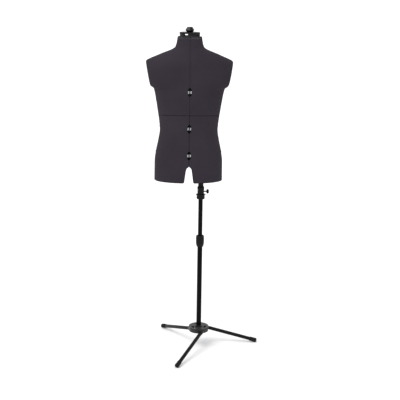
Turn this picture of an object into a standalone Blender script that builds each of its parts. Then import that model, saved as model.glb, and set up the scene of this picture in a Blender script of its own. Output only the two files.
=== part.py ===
"""Adjustable male dress form on a tripod stand.

The torso is eight padded quarter panels: front and back, left and right, above and
below the waist. Twelve thumbwheel adjusters push neighbouring panels apart. The panels
slide on two plates, which a telescopic mast joins, and a socket in the left leg drops
over a height-adjustable pole.

Units are metres, +Z is up and the figure faces -Y, so its left side is +X.
"""
import math

import bmesh
import bpy
from mathutils import Vector

# ------------------------------------------------------------------ general fits
CLEARANCE = 0.0003          # gap between pieces that touch or slide
MERGE = 1e-5                # turned profiles close on their axis within this

# ------------------------------------------------------------------ torso outline
# Each curve lists (height above the floor, distance from the torso's vertical axis).
LEG_BOTTOM = 0.885
WAIST_SPLIT = 1.2055        # where the waist gap crosses the torso's sides
WAIST_TILT = 0.12           # the gap climbs this much for each metre forwards
ARMPIT = 1.339
SHOULDER_TIP = 1.4613
NECK_BASE = 1.5345
NECK_TOP = 1.5835
HALF_WIDTH = (
    (LEG_BOTTOM, 0.1680), (0.980, 0.1668), (1.0285, 0.1607), (1.0885, 0.1485),
    (1.136, 0.1418), (1.178, 0.1452), (WAIST_SPLIT, 0.1490), (1.237, 0.1538),
    (1.281, 0.1605), (1.325, 0.1690), (ARMPIT, 0.1738), (1.352, 0.1925), (1.380, 0.2120),
    (1.420, 0.2220), (SHOULDER_TIP, 0.2165), (1.498, 0.1475), (1.5267, 0.0797),
    (NECK_BASE, 0.0700), (1.5551, 0.0632), (NECK_TOP, 0.0585),
)
FRONT_DEPTH = (
    (LEG_BOTTOM, 0.100), (0.938, 0.108), (0.985, 0.114), (1.0285, 0.112), (1.0885, 0.106),
    (1.140, 0.102), (WAIST_SPLIT, 0.107), (1.2665, 0.118), (1.310, 0.123), (1.360, 0.119),
    (1.420, 0.103), (SHOULDER_TIP, 0.086), (1.498, 0.070), (NECK_BASE, 0.053),
    (NECK_TOP, 0.047),
)
BACK_DEPTH = (
    (LEG_BOTTOM, 0.105), (0.938, 0.121), (0.985, 0.126), (1.0285, 0.117), (1.0885, 0.103),
    (1.140, 0.095), (WAIST_SPLIT, 0.096), (1.2665, 0.106), (1.330, 0.117), (1.400, 0.118),
    (SHOULDER_TIP, 0.108), (1.498, 0.095), (NECK_BASE, 0.076), (NECK_TOP, 0.067),
)
SQUARENESS = (              # superellipse exponent, 2 is a true ellipse
    (LEG_BOTTOM, 2.2), (1.000, 2.3), (1.140, 2.2), (1.280, 2.4), (1.360, 2.6),
    (1.440, 2.4), (1.498, 2.0), (NECK_TOP, 2.0),
)
ARM_END = 0.2108            # the cut arm face stands this far out at the shoulder tip
ARM_SLANT = 0.19            # and runs inwards by this much for each metre down
SECTION_POINTS = 24
OVERSHOOT = 0.02            # hollowing solids run past the open ends by this

CROTCH_TOP = 0.9690         # top of the gap between the legs
CROTCH_ROUND = 0.0118       # half width that the round top of the gap reaches
CROTCH_FALL = 0.006         # height over which it does so
CROTCH_FLARE = 0.127        # widening for each metre below that

# ------------------------------------------------------------------ quarter panels
CENTRE_GAP = 0.0025         # between left and right, and front and back, when closed
WAIST_GAP = 0.0035
COVER_THICK = 0.003         # knitted cover and its foam
SHELL_THICK = 0.003         # moulded plastic
SHELL_OUTER = COVER_THICK + CLEARANCE
SHELL_INNER = SHELL_OUTER + SHELL_THICK
CORE_INSET = SHELL_OUTER + SHELL_THICK / 2
TORSO_FROM_POLE = 0.0635    # the pole stands this far to the left of the torso's middle

# Every quarter lies between two adjuster faces: the first face's +x half belongs to it,
# and the second face's -x half, in each face's own frame.
QUARTERS = {
    "front_left": ("front", "left"), "back_left": ("left", "back"),
    "back_right": ("back", "right"), "front_right": ("right", "front"),
}
FACE_TURN = {"front": 0, "left": 90, "back": 180, "right": 270}

# ------------------------------------------------------------------ adjusters
CHEST_TRAVEL = 0.020        # how far a panel moves across each gap
HIP_TRAVEL = 0.014
CHEST_MIDDLE = 1.331        # adjusters on the centre front and centre back
CHEST_SIDE = 1.285          # side adjusters sit lower, clear of the arms
WAIST_ROW = 1.153
HIP_ROW = 1.024
WINDOW_WIDTH = 0.021
WINDOW_HEIGHT = 0.043
WHEEL_RADIUS = 0.021
WHEEL_THICK = 0.0030
WHEEL_DEPTH = 0.020         # wheel axis below the fabric
SLEEVE_RADIUS = 0.0055
SLEEVE_REACH = 0.028        # threaded sleeve to each side of the wheel
SLEEVE_BORE = 0.0034
ROD_RADIUS = 0.003
ROD_START = 0.004
BOSS_START = 0.030          # moulded boss that holds the rod, measured along the rod
BOSS_END = 0.038
BOSS_HALF_HEIGHT = 0.006
BOSS_DEPTH = 0.024
CHEEK_INNER = 0.0019        # yoke cheeks each side of the wheel
CHEEK_OUTER = 0.0095
CHEEK_TIP_DEPTH = 0.002
CHEEK_TIP_HALF = 0.0065
CHEEK_ROOT_DEPTH = 0.0135
CHEEK_ROOT_HALF = 0.010
CHEEK_HOLE = SLEEVE_RADIUS + 0.0005
BRIDGE_DEPTH = 0.046
BRIDGE_THICK = 0.004
BRIDGE_HALF = 0.0076
GUIDE_HALF = 0.005
GUIDE_HOLD = 0.008          # guide left on its plate at full travel
GUIDE_THICK = 0.003

# ------------------------------------------------------------------ inner frame
PLATE_THICK = 0.004
HIP_PLATE_BASE = 1.0715
HIP_PLATE = (0.088, 0.040)      # half width, half depth
CHEST_PLATE_BASE = 1.3055
CHEST_PLATE = (0.106, 0.068)
PLATE_SQUARENESS = 2.5
PLATE_POINTS = 24
TONGUE_WIDTH = 0.014
TONGUE_THICK = 0.003
TONGUE_LENGTH = 0.125
HIP_TONGUE_ROOT = (0.034, 0.012)
CHEST_TONGUE_ROOT = (0.040, 0.024)
LOWER_MAST_TOP = 1.200
LOWER_MAST_RADIUS = 0.013
LOWER_MAST_FLANGE = 0.018
FLANGE_THICK = 0.004
UPPER_MAST_BASE = 1.095
UPPER_MAST_RADIUS = 0.010
MAST_WALL = 0.002

# ------------------------------------------------------------------ neck
NECK_CENTRE_Y = 0.010
DRUM_RADIUS = 0.050
DRUM_BASE = NECK_TOP + CLEARANCE
DRUM_TOP = 1.604
DRUM_LID = 0.006
DRUM_FLOOR = 0.003
DRUM_WALL = (0.0494, 0.0460)    # outer and inner radius
DRUM_OPENING_WIDTH = 0.021
DRUM_OPENINGS = (-111, -39, 105, 177)   # degrees from +X
DRUM_BOSS = 0.009
STUD_RADIUS = 0.004
STUD_LENGTH = 0.014
KNOB_SIDES = 8
KNOB_HEIGHT = 0.0245
KNOB_WIDEST = 0.0085            # height of the widest line above the knob's foot
KNOB_RADII = (0.0140, 0.0216, 0.0124)   # foot, widest line, flat top

# ------------------------------------------------------------------ pole
TUBE_WALL = 0.0012
LOWER_TUBE_RADIUS = 0.0125
LOWER_TUBE_TOP = 0.5610
UPPER_TUBE_RADIUS = 0.0110
UPPER_TUBE_BASE = 0.270
UPPER_TUBE_TOP = 0.930
COLLAR_SPLIT = 0.5614
COLLAR_BASE = 0.5366
COLLAR_TOP = 0.5940
COLLAR_RADIUS = 0.0205
CUP_BASE = 0.7850
CUP_TOP = 0.8100
CUP_RADIUS = 0.0210
CUP_CHAMFER = 0.002
CUP_WAIST = 0.001               # slight hollow half way up the cup
EAR_START = 0.017
EAR_REACH = 0.0240
EAR_HALF_WIDTH = 0.005
EAR_HEIGHTS = (0.8055, 0.8095)
SOCKET_FOOT_RADIUS = 0.0165
SOCKET_RING_RADIUS = 0.01735
SOCKET_RING = (0.836, 0.846)    # heights of the ring at the end of the leg
SOCKET_TUBE_RADIUS = 0.01325
SOCKET_BORE_TOP = 0.945
THUMB_HEIGHT = 0.8231
THUMB_SHANK = 0.0030
THUMB_HEAD = 0.0115
THUMB_HEAD_START = 0.0275
THUMB_HEAD_END = 0.0405

# ------------------------------------------------------------------ tripod
HUB_RADIUS = 0.0508
HUB_TOP = 0.107
HUB_BASE = 0.082
HUB_PLATE = 0.0065
HUB_SKIRT = 0.0043
HUB_BOSS = 0.0185
HUB_BOSS_TOP = 0.112
HUB_FLOOR = 0.005
KIDNEY_INNER = 0.0260
KIDNEY_OUTER = 0.0405
KIDNEY_HALF_ANGLE = math.radians(25)
KIDNEY_TURN = math.radians(87)  # a window's middle, onwards from each foot
WASHER_RADIUS = 0.0200
WASHER_THICK = 0.004
BOLT_HEAD_RADIUS = 0.0065
BOLT_HEAD_THICK = 0.0055
LEG_NAMES = ("right", "back", "front")
FIRST_LEG_ANGLE = 7.7           # degrees from +X
LEG_OFFSET = 0.0326             # each leg's axis passes this far beside the pole's
LEG_AT_RIM = 0.0873             # height of the leg's axis at the hub's rim
FOOT_REACH = 0.3024             # foot centre from the pole's axis
FOOT_HEIGHT = 0.0105
LEG_RADIUS = 0.0090
LEG_SOCKET_WALL = 0.0018
SLEEVE_END = 0.0410             # the hub's leg sockets end here, along the leg
LEG_START = 0.0105              # along the leg, from its nearest point to the pole
CAP_LENGTH = 0.036
CAP_TIP = 0.006                 # rubber beyond the foot's centre
CAP_RADII = (0.0107, 0.0111)    # mouth, tip
CAP_CHAMFER = 0.003
CAP_TAPER_END = 0.010           # before the tip, the cap reaches its full radius

PARTS = "dress_form"
CUTTERS = "dress_form_cutters"


# ================================================================== scene helpers
def clear_scene():
    for item in list(bpy.data.objects):
        bpy.data.objects.remove(item, do_unlink=True)
    for name in (PARTS, CUTTERS):
        old = bpy.data.collections.get(name)
        if old:
            bpy.data.collections.remove(old)
        bpy.context.scene.collection.children.link(bpy.data.collections.new(name))


def finish(name, colour, roughness, metallic=0.0):
    made = bpy.data.materials.get(name) or bpy.data.materials.new(name)
    made.use_nodes = True
    shader = made.node_tree.nodes["Principled BSDF"]
    shader.inputs["Base Color"].default_value = (*colour, 1)
    shader.inputs["Roughness"].default_value = roughness
    shader.inputs["Metallic"].default_value = metallic
    return made


def add_object(name, data, parent, material=None):
    """Link an object as a part, or as a hidden cutter when it has no material."""
    made = bpy.data.objects.new(name, data)
    made.parent = parent
    bpy.data.collections[PARTS if material else CUTTERS].objects.link(made)
    if material:
        made.data.materials.append(material)
    elif data:
        made.hide_render = True
        made.display_type = "WIRE"
    return made


def empty(name, parent=None, location=(0, 0, 0), turn=0):
    made = bpy.data.objects.new(name, None)
    bpy.data.collections[PARTS].objects.link(made)
    made.parent = parent
    made.location = location
    made.rotation_euler.z = math.radians(turn)
    return made


def box(name, low, high, parent, material=None):
    mesh = bpy.data.meshes.new(name)
    shape = bmesh.new()
    bmesh.ops.create_cube(shape, size=1)
    low, high = Vector(low), Vector(high)
    bmesh.ops.scale(shape, vec=high - low, verts=shape.verts)
    bmesh.ops.translate(shape, vec=(low + high) / 2, verts=shape.verts)
    shape.to_mesh(mesh)
    shape.free()
    return add_object(name, mesh, parent, material)


def rod(name, radius, start, end, parent, material=None, sides=16):
    """A solid cylinder from one point to another."""
    start, end = Vector(start), Vector(end)
    mesh = bpy.data.meshes.new(name)
    shape = bmesh.new()
    bmesh.ops.create_cone(shape, cap_ends=True, segments=sides, radius1=radius,
                          radius2=radius, depth=(end - start).length)
    shape.to_mesh(mesh)
    shape.free()
    mesh.shade_smooth()
    mesh.set_sharp_from_angle(angle=math.radians(40))
    made = add_object(name, mesh, parent, material)
    made.location = (start + end) / 2
    made.rotation_euler = (end - start).to_track_quat("Z", "Y").to_euler()
    return made


def turned(name, profile, parent, material=None, sides=20, ring=True, smooth=True):
    """Turn (radius, height) points about Z.

    The points run down the outside and, for a ring, back up the bore. A profile that is
    not a ring starts and ends on the axis.
    """
    mesh = bpy.data.meshes.new(name)
    count = len(profile)
    edges = [(i, (i + 1) % count) for i in range(count if ring else count - 1)]
    mesh.from_pydata([(radius, 0, height) for radius, height in profile], edges, [])
    made = add_object(name, mesh, parent, material)
    screw = made.modifiers.new("turn", "SCREW")
    screw.steps = sides
    screw.render_steps = sides
    screw.use_merge_vertices = True
    screw.merge_threshold = MERGE
    screw.use_smooth_shade = smooth
    return made


def tube(name, radius, bore, base, top, parent, material=None, sides=20):
    outline = ((radius, top), (radius, base), (bore, base), (bore, top))
    return turned(name, outline, parent, material, sides)


def flat_piece(name, outline, low, high, parent, material=None):
    """A flat outline in XY, extruded from one height to another."""
    curve = bpy.data.curves.new(name, "CURVE")
    curve.dimensions = "2D"
    curve.fill_mode = "BOTH"
    curve.extrude = (high - low) / 2
    spline = curve.splines.new("POLY")
    spline.points.add(len(outline) - 1)
    for point, (x, y) in zip(spline.points, outline):
        point.co = (x, y, 0, 1)
    spline.use_cyclic_u = True
    source = add_object(name + "_outline", curve, parent)
    bpy.context.view_layer.update()
    evaluated = source.evaluated_get(bpy.context.evaluated_depsgraph_get())
    mesh = bpy.data.meshes.new_from_object(evaluated)
    bpy.data.objects.remove(source)
    shape = bmesh.new()
    shape.from_mesh(mesh)
    bmesh.ops.remove_doubles(shape, verts=shape.verts, dist=MERGE)
    bmesh.ops.translate(shape, vec=(0, 0, (low + high) / 2), verts=shape.verts)
    bmesh.ops.recalc_face_normals(shape, faces=shape.faces)
    shape.to_mesh(mesh)
    shape.free()
    return add_object(name, mesh, parent, material)


def combine(target, other, operation="DIFFERENCE", solver="EXACT"):
    modifier = target.modifiers.new(operation.lower(), "BOOLEAN")
    modifier.operation = operation
    modifier.object = other
    modifier.solver = solver
    return target


# ================================================================== torso shape
def along(curve, height):
    """Read a curve of (height, value) stations with a smooth, non-overshooting fit."""
    if height <= curve[0][0]:
        return curve[0][1]
    if height >= curve[-1][0]:
        return curve[-1][1]
    index = next(i for i in range(len(curve) - 1) if height <= curve[i + 1][0])
    (low, start), (high, end) = curve[index], curve[index + 1]
    span = high - low
    rise = (end - start) / span
    slopes = []
    for station in (index, index + 1):
        if station in (0, len(curve) - 1):
            slopes.append(rise)
            continue
        (before, first), (here, value), (after, last) = curve[station - 1:station + 2]
        left = (value - first) / (here - before)
        right = (last - value) / (after - here)
        slopes.append(0.0 if left * right <= 0 else 2 * left * right / (left + right))
    t = (height - low) / span
    return (start * (1 + 2 * t) * (1 - t) ** 2 + end * t * t * (3 - 2 * t)
            + span * (slopes[0] * t * (1 - t) ** 2 - slopes[1] * t * t * (1 - t)))


def inset_along(curve, height, inset):
    """The curve's value for a surface that lies the inset below the outer one."""
    step = 0.002
    slope = (along(curve, height + step) - along(curve, height - step)) / (2 * step)
    return along(curve, height) - inset * math.hypot(1, slope)


def side_limit(height):
    """How far out the sides reach: to the slanted arm face above the armpit."""
    if height < ARMPIT:
        return along(HALF_WIDTH, height)
    return ARM_END - ARM_SLANT * (SHOULDER_TIP - height)


def reach(face, height):
    """Distance from the torso's axis to the fabric at the middle of one face."""
    if face == "front":
        return along(FRONT_DEPTH, height)
    if face == "back":
        return along(BACK_DEPTH, height)
    return along(HALF_WIDTH, height)


def section(height, inset):
    """One horizontal slice: a superellipse whose sides stop at the cut arm faces."""
    width = inset_along(HALF_WIDTH, height, inset)
    power = 2 / along(SQUARENESS, height)
    side = side_limit(height) - inset
    points = []
    for step in range(SECTION_POINTS):
        angle = 2 * math.pi * step / SECTION_POINTS
        curve = BACK_DEPTH if math.sin(angle) > 0 else FRONT_DEPTH
        depth = inset_along(curve, height, inset)
        x = math.copysign(width * abs(math.cos(angle)) ** power, math.cos(angle))
        y = math.copysign(depth * abs(math.sin(angle)) ** power, math.sin(angle))
        points.append((max(-side, min(side, x)), y, height))
    return points


def crotch_outline(grow):
    """Half the outline of the gap between the legs, top first, grown outwards."""
    top = CROTCH_TOP + grow
    points = [(0, top)]
    for drop in (0.003, 0.008, 0.015, 0.030, 0.055, top - LEG_BOTTOM + 2 * OVERSHOOT):
        half = CROTCH_ROUND * (1 - math.exp(-drop / CROTCH_FALL)) + CROTCH_FLARE * drop
        points.append((half + grow, top - drop))
    return points


def torso_solid(name, inset, parent, past_ends=0.0):
    """The whole torso as one solid, with the gap between the legs cut out."""
    heights = [height for height, _ in HALF_WIDTH]
    rings = [section(height, inset) for height in heights]
    if past_ends:
        rings.insert(0, [(x, y, z - past_ends) for x, y, z in rings[0]])
        rings.append([(x, y, z + past_ends) for x, y, z in rings[-1]])
    shape = bmesh.new()
    loops = [[shape.verts.new(point) for point in ring] for ring in rings]
    for below, above in zip(loops, loops[1:]):
        for i in range(SECTION_POINTS):
            j = (i + 1) % SECTION_POINTS
            shape.faces.new((below[i], below[j], above[j], above[i]))
    shape.faces.new(reversed(loops[0]))
    shape.faces.new(loops[-1])
    bmesh.ops.triangulate(shape, faces=shape.faces)
    mesh = bpy.data.meshes.new(name)
    shape.to_mesh(mesh)
    shape.free()
    solid = add_object(name, mesh, parent)
    right = crotch_outline(inset)
    outline = [(-x, z) for x, z in reversed(right[1:])] + right
    gap = flat_piece(name + "_crotch", outline, -0.2, 0.2, parent)
    gap.rotation_euler = (math.pi / 2, 0, 0)
    return combine(solid, gap)


def hollow_torso(name, outer, inner, parent):
    wall = torso_solid(name, outer, parent)
    return combine(wall, torso_solid(name + "_inside", inner, parent, OVERSHOOT))


# ================================================================== adjusters
def adjuster_rows(face, upper):
    """Names and heights of the adjusters on one face, above or below the waist."""
    if not upper:
        return {"waist": WAIST_ROW, "hip": HIP_ROW}
    return {"chest": CHEST_MIDDLE if face in ("front", "back") else CHEST_SIDE}


def window_outline():
    """A pointed oval: two arcs that meet above and below."""
    half_w, half_h = WINDOW_WIDTH / 2, WINDOW_HEIGHT / 2
    radius = (half_w ** 2 + half_h ** 2) / (2 * half_w)
    swing = math.asin(half_h / radius)
    angles = [swing * (i / 3 - 1) for i in range(6)]
    right = [(half_w - radius + radius * math.cos(a), radius * math.sin(a)) for a in angles]
    return right + [(-x, -y) for x, y in right]


def window_cutter(face, row, height, frames):
    cutter = flat_piece(f"window_{row}_{face}", window_outline(), -0.02, 0.02, frames[face])
    cutter.location = (0, -reach(face, height), height)
    cutter.rotation_euler = (math.pi / 2, 0, 0)
    return cutter


def wheel(face, row, height, frames, material):
    """A thumbwheel on its long threaded sleeve, turned about the line of the rods."""
    half = WHEEL_THICK / 2
    outline = (
        (SLEEVE_RADIUS, SLEEVE_REACH), (SLEEVE_RADIUS, half), (WHEEL_RADIUS, half),
        (WHEEL_RADIUS, -half), (SLEEVE_RADIUS, -half), (SLEEVE_RADIUS, -SLEEVE_REACH),
        (SLEEVE_BORE, -SLEEVE_REACH), (SLEEVE_BORE, SLEEVE_REACH),
    )
    made = turned(f"wheel_{row}_{face}", outline, frames[face], material, sides=12)
    made.location = (0, WHEEL_DEPTH - reach(face, height), height)
    made.rotation_euler = (0, math.pi / 2, 0)
    return made


def yoke(name, face, rows, guide_base, travel, frames, material):
    """Cheeks beside each wheel, joined behind it by a bridge with a guide tongue."""
    heights = list(rows.values())
    shallow = min(reach(face, height) for height in heights)
    front = BRIDGE_DEPTH - shallow
    back = front + BRIDGE_THICK
    low = min(heights + [guide_base]) - (CHEEK_ROOT_HALF if min(heights) < guide_base else 0)
    high = max(heights + [guide_base + GUIDE_THICK])
    high += CHEEK_ROOT_HALF if max(heights) > guide_base else 0
    frame = frames[face]
    body = box(name, (-BRIDGE_HALF, front, low), (BRIDGE_HALF, back, high), frame, material)
    guide = box(name + "_guide", (-GUIDE_HALF, front + 0.001, guide_base),
                (GUIDE_HALF, back + travel + GUIDE_HOLD, guide_base + GUIDE_THICK), frame)
    combine(body, guide, "UNION")
    for row, height in rows.items():
        surface = -reach(face, height)
        for sign in (-1, 1):
            near, far = sorted((sign * CHEEK_INNER, sign * CHEEK_OUTER))
            root = box(f"{name}_{row}_root_{sign}",
                       (near, surface + CHEEK_ROOT_DEPTH, height - CHEEK_ROOT_HALF + 0.0005),
                       (far, back - 0.0005, height + CHEEK_ROOT_HALF - 0.0005), frame)
            tip = box(f"{name}_{row}_tip_{sign}",
                      (near + 0.0002, surface + CHEEK_TIP_DEPTH, height - CHEEK_TIP_HALF),
                      (far - 0.0002, surface + CHEEK_ROOT_DEPTH + 0.001,
                       height + CHEEK_TIP_HALF), frame)
            combine(body, root, "UNION")
            combine(body, tip, "UNION")
        axis = surface + WHEEL_DEPTH
        hole = rod(f"{name}_{row}_hole", CHEEK_HOLE, (-0.02, axis, height),
                   (0.02, axis, height), frame, sides=12)
        combine(body, hole)
    return body


# ================================================================== quarter panels
def panel_signs(quarter):
    return (1 if "left" in quarter else -1, -1 if "front" in quarter else 1)


def quarter_box(name, quarter, upper, parent, material):
    """A block that holds one quarter of the torso, half a gap clear of its neighbours."""
    far = 0.3
    corners = [sorted((sign * CENTRE_GAP / 2, sign * far)) for sign in panel_signs(quarter)]
    (x_low, x_high), (y_low, y_high) = corners
    low = WAIST_SPLIT + WAIST_GAP / 2 if upper else LEG_BOTTOM - 0.001
    high = NECK_TOP + 0.001 if upper else WAIST_SPLIT - WAIST_GAP / 2
    block = box(name, (x_low, y_low, low), (x_high, y_high, high), parent, material)
    for corner in block.data.vertices:
        if abs(corner.co.z - WAIST_SPLIT) < WAIST_GAP:
            corner.co.z -= WAIST_TILT * corner.co.y
    return block


def rod_boss(name, face, sign, height, core, frames):
    """A moulded boss under the panel's edge and the fixed rod that it carries."""
    surface = -reach(face, height)
    near, far = sorted((sign * BOSS_START, sign * BOSS_END))
    boss = box(name, (near, surface - 0.01, height - BOSS_HALF_HEIGHT),
               (far, surface + BOSS_DEPTH, height + BOSS_HALF_HEIGHT), frames[face])
    combine(boss, core, "INTERSECT")
    axis = surface + WHEEL_DEPTH
    pin = rod(name + "_pin", ROD_RADIUS, (sign * ROD_START, axis, height),
              (sign * (BOSS_START + BOSS_END) / 2, axis, height), frames[face], sides=8)
    return combine(boss, pin, "UNION")


def tongue(name, quarter, root, base, core, torso):
    """The flat tongue that carries a panel on its plate, along the panel's travel."""
    x_sign, y_sign = panel_signs(quarter)
    made = box(name, (0, -TONGUE_WIDTH / 2, base),
               (TONGUE_LENGTH, TONGUE_WIDTH / 2, base + TONGUE_THICK), torso)
    made.location = (x_sign * root[0], y_sign * root[1], 0)
    made.rotation_euler.z = math.atan2(y_sign, x_sign)
    return combine(made, core, "INTERSECT")


def quarter_panel(quarter, upper, walls, core, windows, frames, torso, looks):
    """One cover and the plastic shell behind it."""
    level = "upper" if upper else "lower"
    faces = QUARTERS[quarter]
    for kind in ("cover", "shell"):
        piece = quarter_box(f"{kind}_{level}_{quarter}", quarter, upper, torso,
                            looks[kind])
        combine(piece, walls[kind], "INTERSECT", "MANIFOLD")
        for face in faces:
            for row in adjuster_rows(face, upper):
                combine(piece, windows[face, row])
    for face, sign in zip(faces, (1, -1)):
        for row, height in adjuster_rows(face, upper).items():
            name = f"boss_{row}_{face}_{quarter}"
            combine(piece, rod_boss(name, face, sign, height, core, frames), "UNION")
    plate_top = (CHEST_PLATE_BASE if upper else HIP_PLATE_BASE) + PLATE_THICK
    root = CHEST_TONGUE_ROOT if upper else HIP_TONGUE_ROOT
    carrier = tongue(f"tongue_{level}_{quarter}", quarter, root, plate_top + CLEARANCE,
                     core, torso)
    combine(piece, carrier, "UNION")


def torso_panels(torso, frames, looks):
    walls = {
        "cover": hollow_torso("cover_wall", 0.0, COVER_THICK, torso),
        "shell": hollow_torso("shell_wall", SHELL_OUTER, SHELL_INNER, torso),
    }
    core = torso_solid("core", CORE_INSET, torso)
    windows = {}
    for upper in (True, False):
        for face in FACE_TURN:
            for row, height in adjuster_rows(face, upper).items():
                windows[face, row] = window_cutter(face, row, height, frames)
        for quarter in QUARTERS:
            quarter_panel(quarter, upper, walls, core, windows, frames, torso, looks)


def torso_adjusters(frames, looks):
    for face in FACE_TURN:
        for upper in (True, False):
            rows = adjuster_rows(face, upper)
            for row, height in rows.items():
                wheel(face, row, height, frames, looks["black_plastic"])
            plate_top = (CHEST_PLATE_BASE if upper else HIP_PLATE_BASE) + PLATE_THICK
            name = f"yoke_chest_{face}" if upper else f"rail_{face}"
            yoke(name, face, rows, plate_top + CLEARANCE,
                 CHEST_TRAVEL if upper else HIP_TRAVEL, frames, looks["grey_plastic"])


# ================================================================== inner frame
def plate(name, size, base, bore, torso, material):
    """A superellipse plate on the mast, under the panels' tongues."""
    half_w, half_d = size
    power = 2 / PLATE_SQUARENESS
    outline = []
    for step in range(PLATE_POINTS):
        angle = 2 * math.pi * step / PLATE_POINTS
        x = math.copysign(half_w * abs(math.cos(angle)) ** power, math.cos(angle))
        y = math.copysign(half_d * abs(math.sin(angle)) ** power, math.sin(angle))
        outline.append((x, y))
    made = flat_piece(name, outline, base, base + PLATE_THICK, torso, material)
    if bore:
        hole = rod(name + "_bore", bore, (0, 0, base - 0.01), (0, 0, base + 0.02), torso)
        combine(made, hole)
    return made


def inner_frame(torso, looks):
    metal = looks["zinc"]
    plate("hip_plate", HIP_PLATE, HIP_PLATE_BASE, 0, torso, metal)
    plate("chest_plate", CHEST_PLATE, CHEST_PLATE_BASE,
          UPPER_MAST_RADIUS + 2 * CLEARANCE, torso, metal)
    base = HIP_PLATE_BASE + PLATE_THICK + CLEARANCE
    bore = UPPER_MAST_RADIUS + CLEARANCE
    turned("lower_mast", (
        (LOWER_MAST_RADIUS, LOWER_MAST_TOP), (LOWER_MAST_RADIUS, base + FLANGE_THICK),
        (LOWER_MAST_FLANGE, base + FLANGE_THICK), (LOWER_MAST_FLANGE, base),
        (bore, base), (bore, LOWER_MAST_TOP)), torso, metal)
    tube("upper_mast", UPPER_MAST_RADIUS, UPPER_MAST_RADIUS - MAST_WALL,
         UPPER_MAST_BASE, DRUM_BASE - CLEARANCE, torso, metal)


# ================================================================== neck
def neck_drum(centre, material):
    """A lidded drum with openings round its wall and a boss for the knob's stud."""
    lid_base = DRUM_TOP - DRUM_LID
    floor_top = DRUM_BASE + DRUM_FLOOR
    bore = STUD_RADIUS + 2 * CLEARANCE
    wall_outer, wall_inner = DRUM_WALL
    drum = turned("neck_drum", (
        (DRUM_RADIUS, DRUM_TOP), (DRUM_RADIUS, lid_base), (wall_outer, lid_base),
        (wall_outer, DRUM_BASE), (bore, DRUM_BASE), (bore, DRUM_TOP)), centre,
        material, sides=28)
    cavity = turned("drum_cavity", (
        (wall_inner, lid_base), (wall_inner, floor_top), (DRUM_BOSS, floor_top),
        (DRUM_BOSS, lid_base)), centre, sides=28)
    combine(drum, cavity)
    half = DRUM_OPENING_WIDTH / 2
    for angle in DRUM_OPENINGS:
        opening = box(f"drum_opening_{angle}", (wall_inner - 0.005, -half, floor_top + 0.0005),
                      (DRUM_RADIUS + 0.005, half, lid_base - 0.0005), centre)
        opening.rotation_euler.z = math.radians(angle)
        combine(drum, opening)


def neck(torso, looks):
    """The drum that caps the neck and the faceted knob on top of it."""
    centre = empty("neck_axis", torso, (0, NECK_CENTRE_Y, 0))
    neck_drum(centre, looks["black_plastic"])
    foot_radius, widest_radius, top_radius = KNOB_RADII
    foot = DRUM_TOP + CLEARANCE
    top = foot + KNOB_HEIGHT
    turned("neck_knob", (
        (0, top), (top_radius, top), (widest_radius, foot + KNOB_WIDEST + 0.0015),
        (widest_radius, foot + KNOB_WIDEST), (foot_radius, foot), (STUD_RADIUS, foot),
        (STUD_RADIUS, foot - STUD_LENGTH), (0, foot - STUD_LENGTH)), centre,
        looks["black_plastic"], sides=KNOB_SIDES, ring=False, smooth=False)


# ================================================================== pole
def pole(root, looks):
    steel = looks["black_steel"]
    plastic = looks["black_plastic"]
    tube("lower_tube", LOWER_TUBE_RADIUS, LOWER_TUBE_RADIUS - TUBE_WALL,
         HUB_BASE + HUB_FLOOR + CLEARANCE, LOWER_TUBE_TOP, root, steel)
    tube("upper_tube", UPPER_TUBE_RADIUS, UPPER_TUBE_RADIUS - TUBE_WALL,
         UPPER_TUBE_BASE, UPPER_TUBE_TOP, root, steel)
    grip = LOWER_TUBE_RADIUS + CLEARANCE
    turned("collar_body", (
        (COLLAR_RADIUS, COLLAR_SPLIT), (COLLAR_RADIUS, COLLAR_SPLIT - 0.008),
        (COLLAR_RADIUS - 0.0015, COLLAR_SPLIT - 0.016),
        (LOWER_TUBE_RADIUS + 0.004, COLLAR_BASE), (grip, COLLAR_BASE),
        (grip, COLLAR_SPLIT)), root, plastic)
    slip = UPPER_TUBE_RADIUS + CLEARANCE
    ring_base = COLLAR_SPLIT + CLEARANCE
    turned("collar_ring", (
        (COLLAR_RADIUS - 0.0025, COLLAR_TOP), (COLLAR_RADIUS - 0.0005, COLLAR_TOP - 0.002),
        (COLLAR_RADIUS, ring_base + 0.002), (COLLAR_RADIUS - 0.001, ring_base),
        (slip, ring_base), (slip, COLLAR_TOP)), root, plastic)
    cup = turned("socket_collar", (
        (CUP_RADIUS, CUP_TOP), (CUP_RADIUS - CUP_WAIST, (CUP_BASE + CUP_TOP) / 2),
        (CUP_RADIUS, CUP_BASE + 2 * CUP_CHAMFER), (CUP_RADIUS - CUP_CHAMFER, CUP_BASE),
        (slip, CUP_BASE), (slip, CUP_TOP)), root, plastic)
    ear_base, ear_top = EAR_HEIGHTS
    for sign in (-1, 1):
        near, far = sorted((sign * EAR_START, sign * EAR_REACH))
        ear = box(f"cup_ear_{sign}", (near, -EAR_HALF_WIDTH, ear_base),
                  (far, EAR_HALF_WIDTH, ear_top), root)
        combine(cup, ear, "UNION")


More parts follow.
